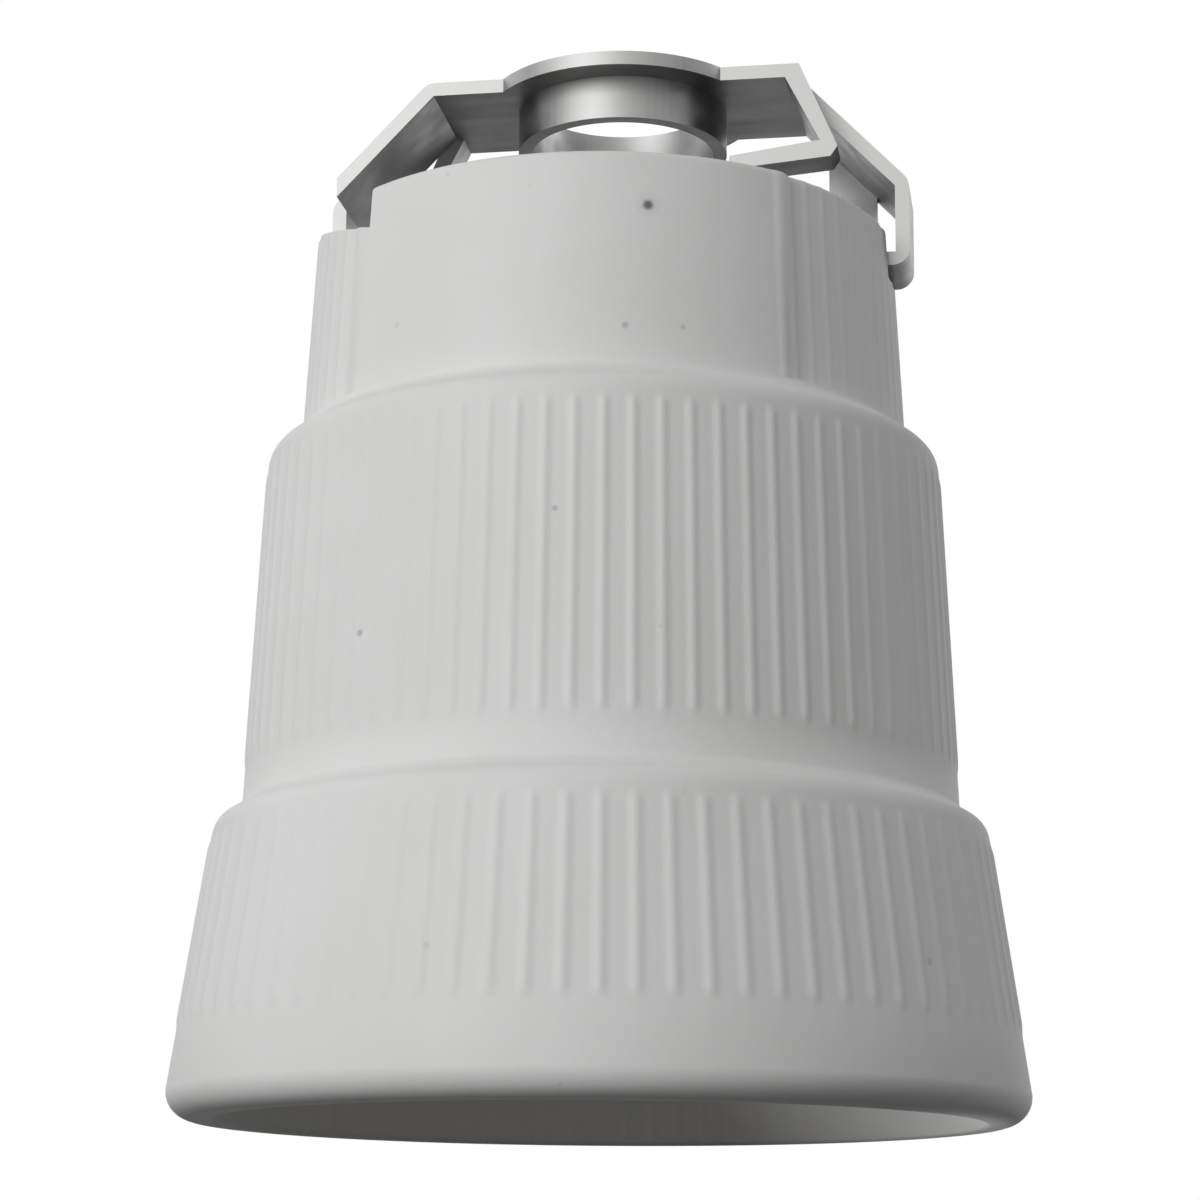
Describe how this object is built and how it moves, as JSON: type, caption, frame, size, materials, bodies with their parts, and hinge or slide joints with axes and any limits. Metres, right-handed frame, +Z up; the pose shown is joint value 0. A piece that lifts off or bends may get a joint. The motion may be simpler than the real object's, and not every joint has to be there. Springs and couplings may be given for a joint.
{
  "type": "lamp holder",
  "caption": "Porcelain lamp holder for a screw lamp: stepped, finely ribbed body with a folded steel bracket and a collar for a threaded tube.",
  "frame": {"origin": "centre of the mouth rim's plane, on the axis of the threaded shell", "axes": "+Z up the axis from the mouth to the bracket, +X along the bracket towards its outer tab"},
  "size_m": [0.047, 0.047, 0.0594],
  "materials": {
    "porcelain": "matte",
    "bracket_steel": "zinc plated",
    "shell_metal": "satin",
    "insulation": "matte",
    "contact_brass": "satin",
    "spring_steel": "bright",
    "screw_steel": "zinc plated"
  },
  "bodies": {
    "holder": {"porcelain_body": "porcelain", "mounting_bracket": "bracket_steel", "screw_shell": "shell_metal", "insulating_disc": "insulation", "contact_rivet": "contact_brass", "contact_spring": "spring_steel", "line_terminal": "contact_brass", "line_clamp_washer": "screw_steel", "line_lock_washer": "screw_steel", "line_clamp_screw": "screw_steel", "neutral_terminal": "contact_brass", "neutral_clamp_washer": "screw_steel", "neutral_lock_washer": "screw_steel", "neutral_clamp_screw": "screw_steel", "neutral_shell_screw": "screw_steel", "plain_shell_screw": "screw_steel", "shell_nut": "screw_steel", "shell_lock_washer": "screw_steel"},
    "contact": {"contact_plunger": "contact_brass"}
  },
  "joints": [
    {"name": "contact_press", "type": "slide", "parent": "holder", "child": "contact", "axis": [0, 0, 1], "range_m": [0, 0.0023], "stiffness_N_per_m": 2000, "springref_m": -0.001, "deforming": ["contact_spring"]}
  ]
}
